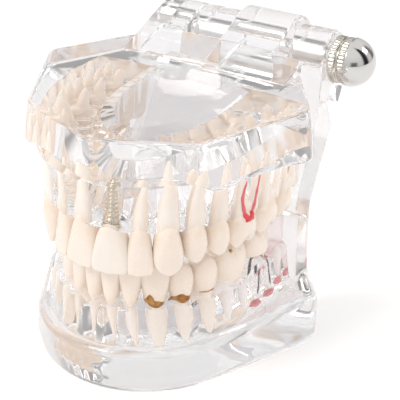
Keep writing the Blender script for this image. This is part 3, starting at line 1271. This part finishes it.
def lowerOutline():
    # an arc through the front and both canine corners, then the straight sides and back
    j = jawForm
    cx, cy = j["lowerCorners"][0]
    rise = j["lowerFront"] + cy
    r = (cx * cx + rise * rise) / (2 * rise)
    half = math.asin(cx / r) * j["frontShare"]
    t = np.linspace(-half, half, 21)
    arc = [(r * math.sin(a), r - j["lowerFront"] - r * math.cos(a)) for a in t]
    radii = [j["lowerRounds"][0]] + [j["frontRound"]] * len(arc) + j["lowerRounds"]
    return roundedPath([(-cx, cy)] + arc + j["lowerCorners"], radii, 400)


# over the base's length: what grows towards the back or the front, from which y and over how much
baseForm = {
    "floor": 8.0, "foot": 3.6, "footGrow": 1.8, "footSpan": (5, 15), "footInset": 0.6,
    "lip": 12.9, "lipGrow": 2.2, "lipSpan": (-20, 30), "lipRound": 2.3, "wallEnd": 3.0,
    "frontSpan": (12, 14), "waist": 0.5, "lipInset": 0.4,
    "gully": ([-36, -22, -10, 5, 26], [9.9, 10.3, 11.8, 14.0, 15.2]), "gullyStart": 0.4,
    "gullyWidth": 5.5, "tongueEdge": 10.5, "tongueStep": (12.5, 6.0),
}


def lowerBase():
    # floor plate up to the tongue floor over the whole outline, and a rim with a lip and a gully
    f = baseForm
    path = lowerOutline()
    n = pathNormals(path)
    y = path[:, 1]
    side = np.clip((y - f["lipSpan"][0]) / f["lipSpan"][1], 0, 1)
    lip = f["lip"] + f["lipGrow"] * side * (3 - 2 * side) * side
    gully = np.interp(y, *f["gully"])
    front = np.clip((-y - f["frontSpan"][0]) / f["frontSpan"][1], 0, 1)
    foot = f["foot"] + f["footGrow"] * np.clip((y - f["footSpan"][0]) / f["footSpan"][1], 0, 1)
    waist, r = f["waist"] * front, f["lipRound"]
    rows = [ringAt(path * .5, n, 0, 0), ringAt(path, n, foot + f["footInset"], 0)]
    rows += [ringAt(path, n, foot * (1 - math.sin(t)) + waist, foot * (1 - math.cos(t)))
             for t in np.linspace(0.12, 1, 8) * np.pi / 2]
    rows += [ringAt(path, n, waist * (1 - math.sin(math.pi * t)), foot + (lip - f["wallEnd"] - foot) * t)
             for t in (.25, .45, .65, .85)]
    rows += [ringAt(path, n, r * (1 - math.cos(t)) + f["lipInset"] * front, lip - r + r * math.sin(t))
             for t in np.linspace(0, 1, 6) * np.pi / 2]
    rows += [ringAt(path, n, r + f["gullyStart"] + f["gullyWidth"] * t,
                    lip + (gully - lip) * t * t * (3 - 2 * t)) for t in np.linspace(.15, 1, 7)]
    rows += [ringAt(path, n, f["tongueEdge"], gully), ringAt(path, n, *f["tongueStep"]),
             ringAt(path * .5, n, 0, f["floor"])]
    return gridShell(np.array(rows))


padForm = {"x": (19, 30.8), "y": (15, 22.5), "foot": 5, "wall": 27.5, "frontTop": 28.8, "frontRound": 3,
           "backTop": 27, "backRound": 5, "corner": 0.4}


def padShell(x0, x1):
    # a block behind the last molars whose top is rounded to the front and the back
    f = padForm
    (y0, y1), r, s = f["y"], f["frontRound"], f["backRound"]
    a = np.linspace(0, np.pi / 2, 6)
    outline = [(y0, f["foot"]), (y0, f["wall"])]
    outline += [(y0 + r - r * math.cos(t), f["frontTop"] + r * math.sin(t)) for t in a]
    outline += [(y1 - s + s * math.sin(t), f["backTop"] + s * math.cos(t)) for t in a]
    return sideways(outline + [(y1, f["foot"])], x0, x1, f["corner"])


armForm = {"back": [(26.5, 8.0), (26.5, 13), (28.5, 30)], "backTop": (46.2, 57),
           "front": [(21, 37), (18.5, 30), (18.5, 6.0)], "frontTop": (31.2, 58),
           "web": 53.0, "webRound": 1.2, "prongRound": 1.6, "tangent": 0.99}


def armShells():
    # one leaning web, and two prongs that carry its line on to the hinge barrels
    h, f = hingeForm, armForm

    def webTop(a, b):
        # where the line from a to b meets the top of the web
        return a[0] + (b[0] - a[0]) * (f["web"] - a[1]) / (b[1] - a[1]), f["web"]

    reach = h["barrel"] * f["tangent"]
    prong = f["back"] + [f["backTop"], (h["y"] + reach, h["z"]), (h["y"] - reach, h["z"]),
                         f["frontTop"]] + f["front"]
    web = f["back"] + [webTop(f["back"][-1], f["backTop"]),
                       webTop(f["front"][0], f["frontTop"])] + f["front"]
    k = h["knuckles"]
    shells = [sideways(web, k[0], k[4], f["webRound"])]
    for x0, x1 in ((k[1], k[2]), (k[3], k[4])):
        shells += [sideways(prong, x0, x1, f["prongRound"]), barrelShell(x0, x1, h["barrel"])]
    return shells


def buildJaws():
    # the upper jaw is cut for the screw and the nut, and the lower jaw for the screw
    h, r, n = hingeForm, rampForm, nutForm
    k, gap, more = h["knuckles"], h["gap"], r["reach"]
    shells = [slabShell(jawForm["upperCorners"]),
              ridgeShell("upper", upperRidge, ridgeForm["upperEnd"]),
              sideways(rampProfile(h["endLug"]), k[0], k[1] - gap, r["round"]),
              sideways(rampProfile(h["endLug"], r["endCut"]), k[1] - more, k[2] + more, r["cutRound"]),
              sideways(rampProfile(h["lug"]), k[2] + gap, k[3] - gap, r["round"]),
              sideways(rampProfile(h["lug"], r["lugCut"]), k[3] - more, r["lugEnd"], r["cutRound"]),
              barrelShell(k[0] + .01, k[1] - gap - .01, h["endLug"]),
              barrelShell(k[2] + gap + .01, k[3] - gap - .01, h["lug"])]
    bore = gridShell(turned([(k[0] - 3, h["bore"]), (k[4] + 3, h["bore"])], 48))
    corner = n["across"] / 2 / math.cos(math.pi / 6) + .08
    nutHole = gridShell(turned([(k[0] - 3, corner), (k[0] + n["thick"] + .3, corner)], 6))
    upper = united("upperJaw", shells, [bore, nutHole])
    place(upper, "upper", "clear_acrylic", looks["clearAcrylic"], "upper_jaw")
    inner, outer = padForm["x"]
    shells = [lowerBase(), ridgeShell("lower", lowerRidge, ridgeForm["lowerEnd"]),
              padShell(inner, outer), padShell(-outer, -inner)] + armShells()
    lower = united("lowerJaw", shells, [bore])
    place(lower, "lower", "clear_acrylic", looks["clearAcrylic"], "lower_jaw")
    print("stage: jaws made", len(upper.data.polygons), len(lower.data.polygons), "faces")


buildJaws()

# floor, world and lamps
studio = {"floorSize": 3.0, "floorDrop": 0.00002, "floor": (0.93, 0.93, 0.935, 1),
          "floorB": (0.91, 0.91, 0.915, 1), "floorClouds": 3.0, "floorGloss": 0.9, "floorShine": 0.1,
          "sky": (0.80, 1.08), "skySpan": (0.0, 0.7), "world": 0.95, "backdrop": 1.05,
          "tone": (1.0, 0.995, 0.985, 1),
          # dark panels round the set: bearing, half width, lowest and highest sine, brightness
          "flags": [(38, 14, -.1, .3, .25), (-60, 12, -.1, .7, .2), (98, 13, -.9, .97, .04),
                    (-110, 10, -.1, .6, .3), (-150, 12, .1, .8, .4), (150, 10, -.1, .6, .3)],
          "flagTurns": 2.5,
          "lamps": [("keyLight", (-0.35, -0.5, 0.75), 2.6, 0.3),
                    ("rimLight", (0.55, 0.45, 0.6), 1.0, 0.3)], "lampAim": (0, 0, .04)}


def buildFloor():
    # a flat grid just under the base
    g = np.linspace(-studio["floorSize"], studio["floorSize"], 25)
    x, y = np.meshgrid(g, g)
    shell = gridShell(np.stack([x, y, 0 * x - studio["floorDrop"]], -1) / mm, closedU=False,
                      capStart=False, capEnd=False)
    floor = makeObject("paleFloor", shell)
    mat, tree, shader = material("paleFloor")
    mottleOn(tree, shader, studio["floorClouds"], studio["floor"], studio["floorB"])
    shader.inputs["Roughness"].default_value = studio["floorGloss"]
    shader.inputs["Specular IOR Level"].default_value = studio["floorShine"]
    floor.data.materials.append(mat)


def flagShade(tree, flat, rise, flag):
    # a soft-edged dark panel: near one bearing, between two heights
    turn, wide, low, high, level = flag
    a = math.radians(turn)
    facing = node(tree, "ShaderNodeVectorMath", {0: flat, 1: (math.sin(a), -math.cos(a), 0)},
                  operation="DOT_PRODUCT").outputs["Value"]
    near = ranged(tree, facing, math.cos(math.radians(wide + 6)), math.cos(math.radians(wide - 6)))
    above = ranged(tree, rise, low - .05, low + .05)
    below = ranged(tree, rise, high + .06, high - .06)
    both = maths(tree, "MULTIPLY", maths(tree, "MULTIPLY", above, below), near)
    return ranged(tree, both, 0.0, 1.0, 1.0, level)


def buildWorld():
    # bright overhead, a little darker towards the horizon, with soft dark panels round the set
    world = bpy.data.worlds.new("studioLight")
    scene.world = world
    world.use_nodes = True
    tree = world.node_tree
    background = tree.nodes["Background"]
    direction = node(tree, "ShaderNodeTexCoord").outputs["Generated"]
    rise = node(tree, "ShaderNodeSeparateXYZ", {0: direction}).outputs[2]
    sky = ranged(tree, rise, *studio["skySpan"], *studio["sky"])
    flat = node(tree, "ShaderNodeVectorMath", {0: direction, 1: (1, 1, 0)}, operation="MULTIPLY").outputs[0]
    flat = node(tree, "ShaderNodeVectorMath", {0: flat}, operation="NORMALIZE").outputs[0]
    light = sky
    for flag in studio["flags"]:
        light = maths(tree, "MULTIPLY", light, flagShade(tree, flat, rise, flag))
    # the panels show in the acrylic and in first mirrorings; plain light doesn't meet them
    path = node(tree, "ShaderNodeLightPath")
    first = maths(tree, "LESS_THAN", path.outputs["Ray Depth"], studio["flagTurns"])
    mirror = maths(tree, "MULTIPLY", path.outputs["Is Glossy Ray"], first)
    seen = maths(tree, "MAXIMUM", mirror, path.outputs["Is Transmission Ray"])
    for share, a, b in ((seen, sky, None), (path.outputs["Is Camera Ray"], None, studio["backdrop"])):
        light = node(tree, "ShaderNodeMix", {0: share, 2: a or light, 3: b or light},
                     data_type="FLOAT").outputs[0]
    light = maths(tree, "MULTIPLY", light, studio["world"])
    tree.links.new(light, background.inputs["Strength"])
    background.inputs["Color"].default_value = studio["tone"]


def buildLamps():
    # square lamps that face the middle of the set
    for name, where, power, size in studio["lamps"]:
        lamp = bpy.data.objects.new(name, bpy.data.lights.new(name, "AREA"))
        scene.collection.objects.link(lamp)
        lamp.data.energy, lamp.data.size = power, size
        lamp.location = where
        lamp.rotation_mode = "QUATERNION"
        aim = Vector(studio["lampAim"]) - Vector(where)
        lamp.rotation_quaternion = aim.to_track_quat("-Z", "Y")
    scene.view_settings.view_transform = "Standard"


buildFloor()
buildWorld()
buildLamps()
print("stage: studio made")
